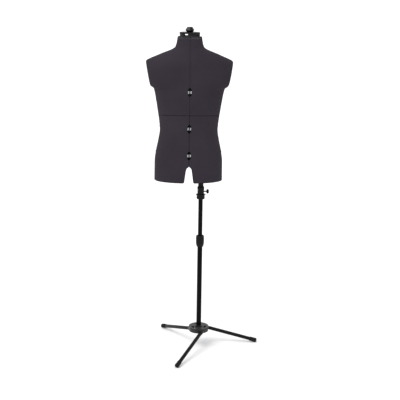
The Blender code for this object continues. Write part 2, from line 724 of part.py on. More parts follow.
def socket(root, looks):
    """The tube that hangs from the hip plate and drops over the pole."""
    foot = CUP_TOP + CLEARANCE
    bore = UPPER_TUBE_RADIUS + CLEARANCE
    top = HIP_PLATE_BASE - CLEARANCE
    ring_base, ring_top = SOCKET_RING
    made = turned("torso_socket", (
        (0, top), (SOCKET_TUBE_RADIUS, top), (SOCKET_TUBE_RADIUS, ring_top + 0.004),
        (SOCKET_RING_RADIUS, ring_top), (SOCKET_RING_RADIUS, ring_base),
        (SOCKET_FOOT_RADIUS, ring_base - 0.001), (SOCKET_FOOT_RADIUS, foot), (bore, foot),
        (bore, SOCKET_BORE_TOP), (0, SOCKET_BORE_TOP)), root,
        looks["black_plastic"], ring=False)
    hole = rod("thumb_hole", THUMB_SHANK + CLEARANCE, (0.005, 0, THUMB_HEIGHT),
               (0.025, 0, THUMB_HEIGHT), root, sides=12)
    combine(made, hole)
    screw = turned("thumb_screw", (
        (0, THUMB_HEAD_END), (THUMB_HEAD - 0.004, THUMB_HEAD_END),
        (THUMB_HEAD, THUMB_HEAD_END - 0.004), (THUMB_HEAD, THUMB_HEAD_START + 0.005),
        (THUMB_HEAD - 0.005, THUMB_HEAD_START), (THUMB_SHANK, THUMB_HEAD_START),
        (THUMB_SHANK, UPPER_TUBE_RADIUS + 2 * CLEARANCE),
        (0, UPPER_TUBE_RADIUS + 2 * CLEARANCE)), root, looks["black_plastic"],
        sides=16, ring=False)
    screw.location = (0, 0, THUMB_HEIGHT)
    screw.rotation_euler = (0, math.pi / 2, 0)


# ================================================================== tripod
def leg_axis(angle):
    """A leg's heading and its nearest point to the pole, from its foot's angle."""
    heading = angle - math.asin(LEG_OFFSET / FOOT_REACH)
    forward = Vector((math.cos(heading), math.sin(heading), 0))
    aside = Vector((-forward.y, forward.x, 0))
    return forward, aside * LEG_OFFSET


def leg_point(along_leg, angle):
    """A point of a leg's axis, measured from the axis's nearest point to the pole."""
    forward, nearest = leg_axis(angle)
    at_rim = math.sqrt(HUB_RADIUS ** 2 - LEG_OFFSET ** 2)
    fall = (LEG_AT_RIM - FOOT_HEIGHT) / (foot_along() - at_rim)
    height = LEG_AT_RIM + (at_rim - along_leg) * fall
    return nearest + forward * along_leg + Vector((0, 0, height))


def foot_along():
    return math.sqrt(FOOT_REACH ** 2 - LEG_OFFSET ** 2)


def leg_angles():
    return {name: math.radians(FIRST_LEG_ANGLE + 120 * i) for i, name in enumerate(LEG_NAMES)}


def kidney_outline(middle):
    steps = [KIDNEY_HALF_ANGLE * (i / 4 - 1) for i in range(9)]
    outer = [(KIDNEY_OUTER, middle + step) for step in steps]
    inner = [(KIDNEY_INNER, middle + step) for step in reversed(steps)]
    return [(radius * math.cos(a), radius * math.sin(a)) for radius, a in outer + inner]


def hub(root, looks):
    """A cast hub with a socket for each leg and a window between them."""
    cast = rod("hub_casting", HUB_RADIUS, (0, 0, HUB_TOP - HUB_PLATE), (0, 0, HUB_TOP),
               root, looks["black_plastic"], sides=28)
    skirt = tube("hub_skirt", HUB_RADIUS - 0.0004, HUB_RADIUS - HUB_SKIRT,
                 HUB_BASE + 0.0015, HUB_TOP - 0.002, root, sides=28)
    boss = rod("hub_boss", HUB_BOSS, (0, 0, HUB_BASE), (0, 0, HUB_BOSS_TOP), root, sides=24)
    combine(cast, skirt, "UNION")
    combine(cast, boss, "UNION")
    for name, angle in leg_angles().items():
        window = flat_piece(f"hub_window_{name}", kidney_outline(angle + KIDNEY_TURN),
                            HUB_TOP - 0.01, HUB_TOP + 0.01, root)
        combine(cast, window)
    for name, angle in leg_angles().items():
        sleeve = rod(f"leg_sleeve_{name}", LEG_RADIUS + LEG_SOCKET_WALL,
                     leg_point(LEG_START - 0.003, angle), leg_point(SLEEVE_END, angle), root)
        combine(cast, sleeve, "UNION")
    for name, angle in leg_angles().items():
        bore = rod(f"leg_bore_{name}", LEG_RADIUS + CLEARANCE,
                   leg_point(LEG_START - CLEARANCE, angle), leg_point(0.08, angle), root)
        combine(cast, bore)
    pole_bore = rod("pole_bore", LOWER_TUBE_RADIUS + CLEARANCE, (0, 0, HUB_BASE + HUB_FLOOR),
                    (0, 0, HUB_TOP + 0.02), root, sides=24)
    combine(cast, pole_bore)
    bolt_hole = rod("bolt_hole", STUD_RADIUS + CLEARANCE, (0, 0, 0.05), (0, 0, 0.1), root)
    combine(cast, bolt_hole)
    cover_top = HUB_BASE - CLEARANCE
    cover_base = cover_top - WASHER_THICK
    tube("hub_cover", WASHER_RADIUS, STUD_RADIUS + CLEARANCE, cover_base, cover_top, root,
         looks["black_plastic"])
    head_top = cover_base - CLEARANCE
    bolt = rod("hub_bolt", BOLT_HEAD_RADIUS, (0, 0, head_top - BOLT_HEAD_THICK),
               (0, 0, head_top), root, looks["zinc"], sides=6)
    shank = rod("hub_bolt_shank", STUD_RADIUS, (0, 0, head_top - 0.001),
                (0, 0, HUB_TOP), root, sides=12)
    combine(bolt, shank, "UNION")


def leg_and_foot(name, angle, floor, root, looks):
    start = leg_point(LEG_START, angle)
    end = leg_point(foot_along() - 0.004, angle)
    direction = (end - start).to_track_quat("Z", "Y").to_euler()
    leg = tube(f"leg_{name}", LEG_RADIUS, LEG_RADIUS - TUBE_WALL, 0, (end - start).length,
               root, looks["black_steel"], sides=16)
    leg.location = start
    leg.rotation_euler = direction
    mouth, tip = CAP_RADII
    bore = LEG_RADIUS + CLEARANCE
    tip_point = leg_point(foot_along() + CAP_TIP, angle)
    depth = CAP_LENGTH - (tip_point - end).length + CLEARANCE
    cap = turned(f"foot_cap_{name}", (
        (0, CAP_LENGTH), (tip - CAP_CHAMFER, CAP_LENGTH), (tip, CAP_LENGTH - CAP_CHAMFER),
        (tip, CAP_LENGTH - CAP_TAPER_END), (mouth, 0.004), (mouth, 0), (bore, 0), (bore, depth),
        (0, depth)), root, looks["rubber"], sides=16, ring=False)
    cap.location = tip_point - (tip_point - start).normalized() * CAP_LENGTH
    cap.rotation_euler = direction
    combine(cap, floor)


def tripod(root, looks):
    hub(root, looks)
    floor = box("floor_block", (-0.5, -0.5, -0.1), (0.5, 0.5, 0), root)
    for name, angle in leg_angles().items():
        leg_and_foot(name, angle, floor, root, looks)


# ================================================================== whole object
def finishes():
    return {
        "cover": finish("aubergine_jersey", (0.042, 0.034, 0.046), 0.95),
        "shell": finish("panel_plastic", (0.030, 0.030, 0.032), 0.55),
        "black_plastic": finish("black_plastic", (0.012, 0.012, 0.013), 0.45),
        "grey_plastic": finish("grey_plastic", (0.60, 0.60, 0.62), 0.5),
        "black_steel": finish("black_enamel", (0.011, 0.011, 0.012), 0.35),
        "zinc": finish("zinc_plate", (0.55, 0.56, 0.58), 0.35, 1.0),
        "rubber": finish("black_rubber", (0.013, 0.013, 0.013), 0.8),
    }


def rest_on_origin(root):
    """Move the whole form so that its box stands centred on the origin."""
    bpy.context.view_layer.update()
    graph = bpy.context.evaluated_depsgraph_get()
    corners = []
    for part in bpy.data.collections[PARTS].objects:
        if part.type == "MESH":
            shaped = part.evaluated_get(graph)
            corners += [shaped.matrix_world @ Vector(corner) for corner in shaped.bound_box]
    for axis in (0, 1):
        values = [corner[axis] for corner in corners]
        root.location[axis] = -(min(values) + max(values)) / 2


def build():
    clear_scene()
    looks = finishes()
    root = empty("dress_form_root")
    torso = empty("torso_axis", root, (-TORSO_FROM_POLE, 0, 0))
    frames = {face: empty(f"{face}_face", torso, turn=turn)
              for face, turn in FACE_TURN.items()}
    tripod(root, looks)
    pole(root, looks)
    socket(root, looks)
    inner_frame(torso, looks)
    neck(torso, looks)
    torso_panels(torso, frames, looks)
    torso_adjusters(frames, looks)
    rest_on_origin(root)


build()
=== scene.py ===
"""The dress form's finished surfaces, lights and camera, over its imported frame.

The torso's eight covers are lofted again at full resolution from the same curves as
their solids: foam-backed jersey that rounds over every panel edge and dips into the
adjuster windows. Turned metal and plastic pieces are rebuilt with rounded edges, ribs
and knurling. Units are metres, +Z is up and the figure faces -Y.
"""
import math

import bmesh
import bpy
import numpy as np
from mathutils import Matrix, Vector


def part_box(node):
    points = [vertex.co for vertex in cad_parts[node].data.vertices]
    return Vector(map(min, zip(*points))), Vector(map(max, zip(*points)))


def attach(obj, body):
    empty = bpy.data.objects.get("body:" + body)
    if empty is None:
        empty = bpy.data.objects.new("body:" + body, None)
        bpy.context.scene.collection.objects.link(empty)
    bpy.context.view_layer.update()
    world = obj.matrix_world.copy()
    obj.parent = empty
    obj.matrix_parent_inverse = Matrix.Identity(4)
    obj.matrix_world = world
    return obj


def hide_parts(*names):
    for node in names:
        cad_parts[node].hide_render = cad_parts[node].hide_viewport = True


# ------------------------------------------------------------------ camera and light
CAMERA_DISTANCE = 4.40          # from the pole, on the floor plan
CAMERA_HEIGHT = 1.885
CAMERA_TURN = math.radians(2.3)     # round the pole, away from the figure's front
CAMERA_ASIDE = -0.003
CAMERA_PITCH = math.radians(14.12)
CAMERA_ROLL = math.radians(0.883)
CAMERA_LENS = 81.66             # millimetres, on a 36 mm sensor
WORLD_STRENGTH = 0.96
SUN_STRENGTH = 1.55
SUN_TOWARDS = (-0.46, -0.47, 1.0)
SUN_SOFTNESS = math.radians(32)
FLOOR_HALF = 150.0

# ------------------------------------------------------------------ torso outline
LEG_BOTTOM = 0.885
WAIST_SPLIT = 1.2055
WAIST_TILT = 0.12
ARMPIT = 1.339
SHOULDER_TIP = 1.4613
NECK_BASE = 1.5345
NECK_TOP = 1.5835
HALF_WIDTH = (
    (LEG_BOTTOM, 0.1680), (0.980, 0.1668), (1.0285, 0.1607), (1.0885, 0.1485),
    (1.136, 0.1418), (1.178, 0.1452), (WAIST_SPLIT, 0.1490), (1.237, 0.1538),
    (1.281, 0.1605), (1.325, 0.1690), (ARMPIT, 0.1738), (1.352, 0.1925), (1.380, 0.2120),
    (1.420, 0.2220), (SHOULDER_TIP, 0.2165), (1.498, 0.1475), (1.5267, 0.0797),
    (NECK_BASE, 0.0700), (1.5551, 0.0632), (NECK_TOP, 0.0585),
)
FRONT_DEPTH = (
    (LEG_BOTTOM, 0.100), (0.938, 0.108), (0.985, 0.114), (1.0285, 0.112), (1.0885, 0.106),
    (1.140, 0.102), (WAIST_SPLIT, 0.107), (1.2665, 0.118), (1.310, 0.123), (1.360, 0.119),
    (1.420, 0.103), (SHOULDER_TIP, 0.086), (1.498, 0.070), (NECK_BASE, 0.053),
    (NECK_TOP, 0.047),
)
BACK_DEPTH = (
    (LEG_BOTTOM, 0.105), (0.938, 0.121), (0.985, 0.126), (1.0285, 0.117), (1.0885, 0.103),
    (1.140, 0.095), (WAIST_SPLIT, 0.096), (1.2665, 0.106), (1.330, 0.117), (1.400, 0.118),
    (SHOULDER_TIP, 0.108), (1.498, 0.095), (NECK_BASE, 0.076), (NECK_TOP, 0.067),
)
SQUARENESS = (
    (LEG_BOTTOM, 2.2), (1.000, 2.3), (1.140, 2.2), (1.280, 2.4), (1.360, 2.6),
    (1.440, 2.4), (1.498, 2.0), (NECK_TOP, 2.0),
)
ARM_END = 0.2108
ARM_SLANT = 0.19
ARM_EDGE = 0.005                # softness of the edge round the cut arm face
CROTCH_TOP = 0.9690
CROTCH_ROUND = 0.0118
CROTCH_FALL = 0.006
CROTCH_FLARE = 0.127
CROTCH_SEAM = 0.010             # the legs' inner walls meet this far above the gap

# ------------------------------------------------------------------ cover details
HALF_GAP = 0.0002               # fabric on each side of a gap, from its middle
EDGE_ROUND = 0.0024
CHEST_ROUND = 0.0012             # the upper panels meet more tightly at the centre line
LEG_CORNER = 0.0070             # rounding of the leg openings' inner corners
WALL_DEPTH = 0.0080             # how far the fabric turns in behind an edge
WALL_STEPS = (1.0, 0.6, 0.25)   # shares of that depth, deepest row first
WINDOW_HALF = (0.0105, 0.0215)
WINDOW_ROUND = 0.0022
WINDOW_WALL = 0.0080
WINDOW_ROWS = {"front": {"upper": (1.331,), "lower": (1.153, 1.024)},
               "side": {"upper": (1.285,), "lower": (1.153, 1.024)}}
FINE = 0.0015                   # mesh spacing round windows and edges
COARSE = 0.0040
SPOT_REACH = 0.024              # rows are fine this near a window or an end
EDGE_REACH = 0.018              # and columns this near a gap
GIRTH = 0.30                    # about the length of a quarter, for spacing its columns
WALE_PITCH = 0.0013             # knit columns
COURSE_PITCH = 0.0010           # knit rows
STITCH_INSET = 0.0070           # topstitching, from an edge
STITCH_PITCH = 0.0045
STITCH_HALF = 0.0006            # half the thread's width
HEM = 0.0110                    # gathered band round the top of the neck

# ------------------------------------------------------------------ neck drum
DRUM_OPENING_WIDTH = 0.021
DRUM_OPENINGS = (-111, -39, 105, 177)   # degrees from +X
# Painted highlight: a light grey strip inside the drum wall, seen through the front opening.
DRUM_HIGHLIGHT_STRIP = (-2, 70)                   # light strip inside the wall, in degrees
DRUM_WALL_THICK = 0.0034


# ------------------------------------------------------------------ adjusters
SLEEVE_REACH = 0.028            # threaded sleeve to each side of the wheel
SLEEVE_RADIUS = 0.0055
SLEEVE_BORE = 0.0034
THREAD_PITCH = 0.002
THREAD_DEPTH = 0.0007
WHEEL_RADIUS = 0.021
WHEEL_HALF = 0.0015             # half the wheel's thickness
KNURLS = 40
KNURL_DEPTH = 0.0011
OUTWARDS = {"front": Vector((0, -1, 0)), "left": Vector((1, 0, 0)),
            "back": Vector((0, 1, 0)), "right": Vector((-1, 0, 0))}
PAD_OUT = 0.0180                # cheek tips stand this far out from the wheel's axis
PAD_DEPTHS = (-0.0015, 0.0002)
PAD_ACROSS = (0.0022, 0.0092)   # distances from the wheel's middle plane
PAD_RISE = (-0.0062, 0.0062)
PAD_EDGE = 0.0004

# ------------------------------------------------------------------ tubes and fittings
TUBE_WALL = 0.0012
LEG_RADIUS = 0.0090
UPPER_TUBE_SLIP = 0.0113        # bore of the pieces that slide on the upper tube
LOWER_TUBE_GRIP = 0.0128        # bore of the collar on the lower tube
SOCKET_FOOT_RADIUS = 0.0165
SOCKET_TUBE_RADIUS = 0.01325
SOCKET_RING = (0.836, 0.846)    # heights of the ring under the leg
THUMB_SHANK = 0.0030
THUMB_HEAD_START = 0.0275
EAR_START = 0.017
EAR_HALF_WIDTH = 0.005
BOLD_EDGE = 0.0008              # rounding of handled pieces' edges
FINE_EDGE = 0.0005


# ================================================================== curves
def along(curve, heights):
    """Read a curve of (height, value) stations with a smooth, non-overshooting fit."""
    stations = np.array([height for height, _ in curve])
    values = np.array([value for _, value in curve])
    heights = np.clip(np.asarray(heights, float), stations[0], stations[-1])
    rises = np.diff(values) / np.diff(stations)
    before = np.concatenate(([rises[0]], rises))
    after = np.concatenate((rises, [rises[-1]]))
    product = before * after
    total = np.where(product > 0, before + after, 1.0)
    slopes = np.where(product > 0, 2 * product / total, 0.0)
    slopes[0], slopes[-1] = rises[0], rises[-1]
    index = np.clip(np.searchsorted(stations, heights) - 1, 0, len(stations) - 2)
    span = stations[index + 1] - stations[index]
    t = (heights - stations[index]) / span
    return (values[index] * (1 + 2 * t) * (1 - t) ** 2
            + values[index + 1] * t * t * (3 - 2 * t)
            + span * (slopes[index] * t * (1 - t) ** 2
                      - slopes[index + 1] * t * t * (1 - t)))


def soft_min(a, b, softness):
    return (a + b - np.sqrt((a - b) ** 2 + softness ** 2)) / 2


def crotch_half(heights):
    """Half the gap between the legs, zero above its top."""
    drop = np.maximum(CROTCH_TOP - heights, 0)
    return CROTCH_ROUND * (1 - np.exp(-drop / CROTCH_FALL)) + CROTCH_FLARE * drop


def spaced(low, high, fine_spots, reach):
    """Steps from low to high, fine near each spot and coarse elsewhere."""
    values = [low]
    while values[-1] < high:
        near = any(abs(values[-1] - spot) < reach for spot in fine_spots)
        values.append(values[-1] + (FINE if near else COARSE))
    values[-1] = high
    return np.array(values)


# ================================================================== covers
class Section:
    """Points of one quarter's surface, from its middle gap round to its side gap."""

    def __init__(self, depth_curve, low, high):
        self.levels = np.linspace(low - 0.02, high + 0.02, 420)
        self.depth_curve = depth_curve
        self.samples = np.linspace(0, 1, 160)
        angle = np.linspace(0, math.pi / 2, 400)
        xs, ys = [], []
        for level in self.levels:
            x, y = self.outline(level, angle)
            start = max(HALF_GAP, float(crotch_half(level)))
            length = np.concatenate(([0], np.cumsum(np.hypot(np.diff(x), np.diff(y)))))
            first = np.interp(start, x, length) if x[-1] > start else length[-1]
            last = np.interp(-HALF_GAP, -y, length)
            wanted = first + (last - first) * self.samples
            xs.append(np.interp(wanted, length, x))
            ys.append(np.interp(wanted, length, y))
        self.x, self.y = np.array(xs), np.array(ys)

    def outline(self, level, angle):
        power = 2 / float(along(SQUARENESS, level))
        x = float(along(HALF_WIDTH, level)) * np.sin(angle) ** power
        y = float(along(self.depth_curve, level)) * np.abs(np.cos(angle)) ** power
        limit = ARM_END - ARM_SLANT * (SHOULDER_TIP - level) + 3 * max(ARMPIT - level, 0)
        return np.maximum.accumulate(soft_min(x, limit, ARM_EDGE)), y

    def at(self, u, z):
        """The surface point at a share of the way round and a height."""
        row = (z - self.levels[0]) / (self.levels[1] - self.levels[0])
        column = u * (len(self.samples) - 1)
        i = np.clip(row.astype(int), 0, len(self.levels) - 2)
        j = np.clip(column.astype(int), 0, len(self.samples) - 2)
        a, b = row - i, column - j
        result = []
        for table in (self.x, self.y):
            low = table[i, j] * (1 - b) + table[i, j + 1] * b
            high = table[i + 1, j] * (1 - b) + table[i + 1, j + 1] * b
            result.append(low * (1 - a) + high * a)
        return np.stack(result + [z], axis=-1)


def round_over(distance, radius):
    """How far below the surface a rounded edge lies at a distance from the edge."""
    near = np.clip(radius - distance, 0, radius)
    return radius - np.sqrt(np.maximum(radius ** 2 - near ** 2, 0))


def window_distance(across, rise):
    """Signed distance from a window's edge: a pointed oval of two arcs."""
    half_w, half_h = WINDOW_HALF
    radius = (half_w ** 2 + half_h ** 2) / (2 * half_w)
    reach = np.hypot(across + radius - half_w, rise)
    return reach - radius, (across + radius - half_w) / reach, rise / reach


def push_from_windows(points, face, level, depth_curve):
    """Slide points that lie inside a window to its edge, and say how far inside."""
    inside = np.full(points.shape[:-1], 1.0)
    along_axis = 0 if face == "front" else 1
    out_axis = 1 - along_axis
    near = points[..., out_axis] > 0.05
    for height in WINDOW_ROWS[face][level]:
        distance, step_across, step_up = window_distance(
            points[..., along_axis], points[..., 2] - height)
        distance = np.where(near, distance, 1.0)
        moved = np.maximum(-distance, 0)
        points[..., along_axis] += moved * step_across
        points[..., 2] += moved * step_up
        inside = np.minimum(inside, distance)
    z = points[..., 2]
    width = along(HALF_WIDTH, z)
    depth = along(depth_curve, z)
    power = along(SQUARENESS, z)
    size_along, size_out = (width, depth) if face == "front" else (depth, width)
    share = np.clip(points[..., along_axis] / size_along, 0, 1)
    fresh = size_out * (1 - share ** power) ** (1 / power)
    points[..., out_axis] = np.where(inside < 0, fresh, points[..., out_axis])
    return inside


def surface_normals(points):
    across = np.gradient(points, axis=1)
    up = np.gradient(points, axis=0)
    normal = np.cross(across, up)
    normal /= np.maximum(np.linalg.norm(normal, axis=-1, keepdims=True), 1e-9)
    flip = np.sign(np.sum(normal * points * (1, 1, 0), axis=-1, keepdims=True))
    return normal * np.where(flip == 0, 1, flip)


def cover_grid(side, level):
    """One left-hand quarter cover: its points, edge distances and pattern lengths."""
    curve = FRONT_DEPTH if side == "front" else BACK_DEPTH
    tilt = WAIST_TILT if side == "front" else -WAIST_TILT
    upper = level == "upper"
    low, high = (WAIST_SPLIT, NECK_TOP) if upper else (LEG_BOTTOM, WAIST_SPLIT)
    windows = WINDOW_ROWS["front"][level] + WINDOW_ROWS["side"][level]
    spots = list(windows) + [low, high, CROTCH_TOP]
    rows = spaced(low, high, spots, SPOT_REACH)
    share_v = (rows - low) / (high - low)
    columns = spaced(0.0, GIRTH, (0.0, GIRTH), EDGE_REACH) / GIRTH
    steps = WALL_DEPTH * np.array(WALL_STEPS)
    extra_u = np.concatenate((steps, np.zeros(len(columns)), steps[::-1]))
    extra_v = np.concatenate((steps, np.zeros(len(rows)), steps[::-1]))
    u = np.concatenate((np.zeros(3), columns, np.ones(3)))
    v = np.concatenate((np.zeros(3), share_v, np.ones(3)))
    u, v = np.meshgrid(u, v)
    extra_u, extra_v = np.meshgrid(extra_u, extra_v)
    section = Section(curve, min(low, high), max(low, high))
    ends = [np.full(u.shape, low), np.full(u.shape, high)]
    split = 0 if upper else 1
    z = low + (high - low) * v
    for _ in range(4):
        points = section.at(u, z)
        ends[split] = WAIST_SPLIT + tilt * points[..., 1] + (HALF_GAP if upper else -HALF_GAP)
        if not upper:
            inward = points[..., 0] - np.maximum(HALF_GAP, crotch_half(z))
            ends[0] = LEG_BOTTOM + round_over(inward, LEG_CORNER)
        z = ends[0] + (ends[1] - ends[0]) * v
    points = section.at(u, z)
    return shape_cover(points, u, z, ends, extra_u, extra_v, level, curve)


def shape_cover(points, u, z, ends, extra_u, extra_v, level, curve):
    """Round the edges over, sink the windows and turn the walls in."""
    start = np.maximum(HALF_GAP, crotch_half(z))
    to_gap = points[..., 0] - start
    to_side = points[..., 1] - HALF_GAP
    to_low, to_high = z - ends[0], ends[1] - z
    leg = np.clip((CROTCH_TOP - z) / 0.03, 0, 1)
    end_round = EDGE_ROUND * np.where(level == "lower", 1.6, 1.0)
    gap_round = CHEST_ROUND if level == "upper" else EDGE_ROUND * (1 + leg)
    depth = (round_over(to_gap, gap_round) ** 3
             + round_over(to_side, EDGE_ROUND) ** 3
             + round_over(to_low, end_round) ** 3 + round_over(to_high, EDGE_ROUND) ** 3)
    depth = np.cbrt(depth)
    edge = np.minimum(np.minimum(to_gap, to_side), np.minimum(to_low, to_high))
    normals = surface_normals(points)
    for face in ("front", "side"):
        inside = push_from_windows(points, face, level, curve)
        sink = round_over(np.maximum(inside, 0), WINDOW_ROUND)
        sink = np.where(inside < 0, WINDOW_ROUND - 0.9 * np.maximum(inside, -WINDOW_WALL), sink)
        depth = np.maximum(depth, sink)
        edge = np.minimum(edge, inside)
    inner_leg = (extra_u > 0) & (u < 0.5) & (z < CROTCH_TOP + CROTCH_SEAM)
    shaped = points - normals * (depth + extra_u + extra_v)[..., None]
    reach = (extra_u / WALL_DEPTH)[..., None]
    across = points - normals * depth[..., None]
    across_end = across.copy()
    across_end[..., 1] = HALF_GAP
    bridged = across * (1 - reach) + across_end * reach - normals * extra_v[..., None]
    shaped = np.where(inner_leg[..., None], bridged, shaped)
    lengths = np.concatenate((np.zeros((u.shape[0], 1)),
                              np.cumsum(np.linalg.norm(np.diff(points, axis=1), axis=-1),
                                        axis=1)), axis=1)
    hem = np.clip(to_high / HEM, 0, 1) if level == "upper" else np.ones(u.shape)
    return shaped, edge, hem, lengths


def cover_mesh(name, side, hand, level, centre):
    """The cover as a mesh with its pattern's UV map and its edge distances."""
    points, edge, hem, lengths = cover_grid(side, level)
    sign_x = 1 if hand == "left" else -1
    sign_y = -1 if side == "front" else 1
    rows, columns = edge.shape
    places = points * (sign_x, sign_y, 1) + (centre.x, centre.y, 0)
    index = np.arange(rows * columns).reshape(rows, columns)
    quads = np.stack((index[:-1, :-1], index[:-1, 1:], index[1:, 1:], index[1:, :-1]), -1)
    if sign_x * sign_y > 0:
        quads = quads[..., ::-1]
    mesh = bpy.data.meshes.new(name)
    mesh.from_pydata(places.reshape(-1, 3).tolist(), [], quads.reshape(-1, 4).tolist())
    mesh.shade_smooth()
    for label, values in (("edge", edge), ("hem", hem)):
        attribute = mesh.attributes.new(label, "FLOAT", "POINT")
        attribute.data.foreach_set("value", values.reshape(-1).astype(np.float32))
    pattern = mesh.uv_layers.new(name="pattern")
    corner = np.zeros(len(mesh.loops), dtype=np.int32)
    mesh.loops.foreach_get("vertex_index", corner)
    flat = np.stack((lengths.reshape(-1), points[..., 2].reshape(-1)), axis=-1)
    pattern.data.foreach_set("uv", flat[corner].reshape(-1).astype(np.float32))
    return mesh


# ================================================================== materials
class Shader:
    """A Principled material with short calls for the nodes that shape it."""

    def __init__(self, name, colour, roughness, metallic=0.0):
        self.material = bpy.data.materials.new(name)
        self.material.use_nodes = True
        self.tree = self.material.node_tree
        self.base = self.tree.nodes["Principled BSDF"]
        self.set(self.base, "Base Color", (*colour, 1))
        self.set(self.base, "Roughness", roughness)
        self.set(self.base, "Metallic", metallic)

    def node(self, kind, **values):
        made = self.tree.nodes.new("ShaderNode" + kind)
        for key, value in values.items():
            setattr(made, key, value)
        return made

    def set(self, node, socket, value):
        node.inputs[socket].default_value = value

    def link(self, output, socket):
        self.tree.links.new(output, socket)

    def math(self, operation, first, second=0.0):
        node = self.node("Math", operation=operation)
        for socket, value in zip(node.inputs, (first, second)):
            if isinstance(value, (int, float)):
                socket.default_value = value
            else:
                self.link(value, socket)
        return node.outputs[0]

    def noise(self, scale, detail=3.0, vector=None):
        node = self.node("TexNoise")
        self.set(node, "Scale", scale)
        self.set(node, "Detail", detail)
        self.link(vector or self.node("TexCoord").outputs["Object"], node.inputs["Vector"])
        return node.outputs["Fac"]

    def spread(self, value, low, high):
        node = self.node("MapRange")
        self.set(node, "To Min", low)
        self.set(node, "To Max", high)
        self.link(value, node.inputs["Value"])
        return node.outputs["Result"]

    def tint(self, value, dark, light):
        node = self.node("ValToRGB")
        node.color_ramp.elements[0].color = (*dark, 1)
        node.color_ramp.elements[1].color = (*light, 1)
        node.color_ramp.elements[0].position = 0.3
        node.color_ramp.elements[1].position = 0.7
        self.link(value, node.inputs["Fac"])
        self.link(node.outputs["Color"], self.base.inputs["Base Color"])
        return node.outputs["Color"]

    def bump(self, height, distance, strength=1.0):
        node = self.node("Bump")
        self.set(node, "Distance", distance)
        self.set(node, "Strength", strength)
        self.link(height, node.inputs["Height"])
        self.link(node.outputs["Normal"], self.base.inputs["Normal"])


def jersey():
    """Fine aubergine-grey knit: wales and courses in the bump, topstitching at edges. The raised
    loops are painted lighter, and the neck gathers carry painted light and shade.
    """
    cloth = Shader("jersey", (0.028, 0.023, 0.030), 0.95)
    cloth.set(cloth.base, "Sheen Weight", 0.03)
    cloth.set(cloth.base, "Sheen Roughness", 0.55)
    cloth.set(cloth.base, "Sheen Tint", (0.85, 0.78, 0.9, 1))
    cloth.set(cloth.base, "Specular IOR Level", 0.04)
    split = cloth.node("SeparateXYZ")
    cloth.link(cloth.node("UVMap", uv_map="pattern").outputs["UV"], split.inputs[0])
    across, up = split.outputs["X"], split.outputs["Y"]
    wale = cloth.math("SINE", cloth.math("MULTIPLY", across, 2 * math.pi / WALE_PITCH))
    lean = cloth.math("ABSOLUTE", wale)
    course = cloth.math("SINE", cloth.math(
        "ADD", cloth.math("MULTIPLY", up, 2 * math.pi / COURSE_PITCH),
        cloth.math("MULTIPLY", lean, 2.2)))
    loops = cloth.math("ADD", lean, cloth.math("MULTIPLY", course, 0.6))
    edge = cloth.node("Attribute", attribute_name="edge").outputs["Fac"]
    off_line = cloth.math("ABSOLUTE", cloth.math("SUBTRACT", edge, STITCH_INSET))
    on_line = cloth.math("LESS_THAN", off_line, STITCH_HALF)
    dash = cloth.math("SINE", cloth.math(
        "MULTIPLY", cloth.math("ADD", across, up), 2 * math.pi / STITCH_PITCH))
    stitch = cloth.math("MULTIPLY", on_line, cloth.math("GREATER_THAN", dash, -0.35))
    relief = cloth.math("SUBTRACT", loops, cloth.math("MULTIPLY", stitch, 2.5))
    # Random tone plus painted highlight: the raised knit loops are painted lighter in the
    # colour.
    tone_and_painted_loop_light = cloth.math("ADD", cloth.noise(5.0, 2.0), cloth.math("MULTIPLY", loops, 0.06))
    tone_and_painted_loop_light = cloth.math("ADD", tone_and_painted_loop_light, cloth.math("MULTIPLY", cloth.noise(900.0, 1.0), 0.15))
    tone_and_painted_loop_light = cloth.math("SUBTRACT", tone_and_painted_loop_light, 0.12)
    knit = cloth.tint(tone_and_painted_loop_light, (0.0260, 0.0217, 0.0285), (0.0335, 0.0282, 0.0365))
    # Painted light and shade on the neck gathers: lighter on the raised fold crests, darker in
    # the troughs, from the same noise as the fold bump.
    gather = cloth.noise(210.0, 2.0)
    painted_fold_light_band = cloth.node("ValToRGB")
    painted_fold_light_band.color_ramp.elements[0].position = 0.38
    painted_fold_light_band.color_ramp.elements[1].position = 0.66
    painted_fold_light_band.color_ramp.elements[0].color = (0.020, 0.018, 0.023, 1)
    painted_fold_light_band.color_ramp.elements[1].color = (0.090, 0.086, 0.095, 1)
    cloth.link(gather, painted_fold_light_band.inputs["Fac"])
    below = cloth.node("Attribute", attribute_name="hem").outputs["Fac"]
    mix = cloth.node("Mix", data_type="RGBA")
    cloth.link(cloth.math("POWER", below, 2.0), mix.inputs["Factor"])
    cloth.link(painted_fold_light_band.outputs["Color"], mix.inputs[6])
    cloth.link(knit, mix.inputs[7])
    cloth.link(mix.outputs[2], cloth.base.inputs["Base Color"])
    folds = cloth.math("MULTIPLY", cloth.math("SUBTRACT", 1.0, below), gather)
    relief = cloth.math("ADD", relief, cloth.math("MULTIPLY", folds, 6.0))
    cloth.bump(relief, 0.00022, 0.55)
    return cloth.material


def plastic(name, colour, roughness, grain=0.00004, shine=0.12):
    look = Shader(name, colour, roughness)
    look.set(look.base, "Specular IOR Level", shine)
    dark = tuple(value * 0.85 for value in colour)
    light = tuple(value * 1.15 for value in colour)
    look.tint(look.noise(35.0), dark, light)
    look.link(look.spread(look.noise(90.0), roughness - 0.06, roughness + 0.08),
              look.base.inputs["Roughness"])
    look.bump(look.noise(1400.0, 2.0), grain, 0.6)
    return look.material


def cast_black():
    """Matt black casting that greys where it is seen at a grazing angle."""
    material = plastic("cast_black", (0.0060, 0.0060, 0.0068), 0.38, shine=0.35)
    base = material.node_tree.nodes["Principled BSDF"]
    base.inputs["Sheen Weight"].default_value = 0.35
    base.inputs["Sheen Roughness"].default_value = 0.30
    return material


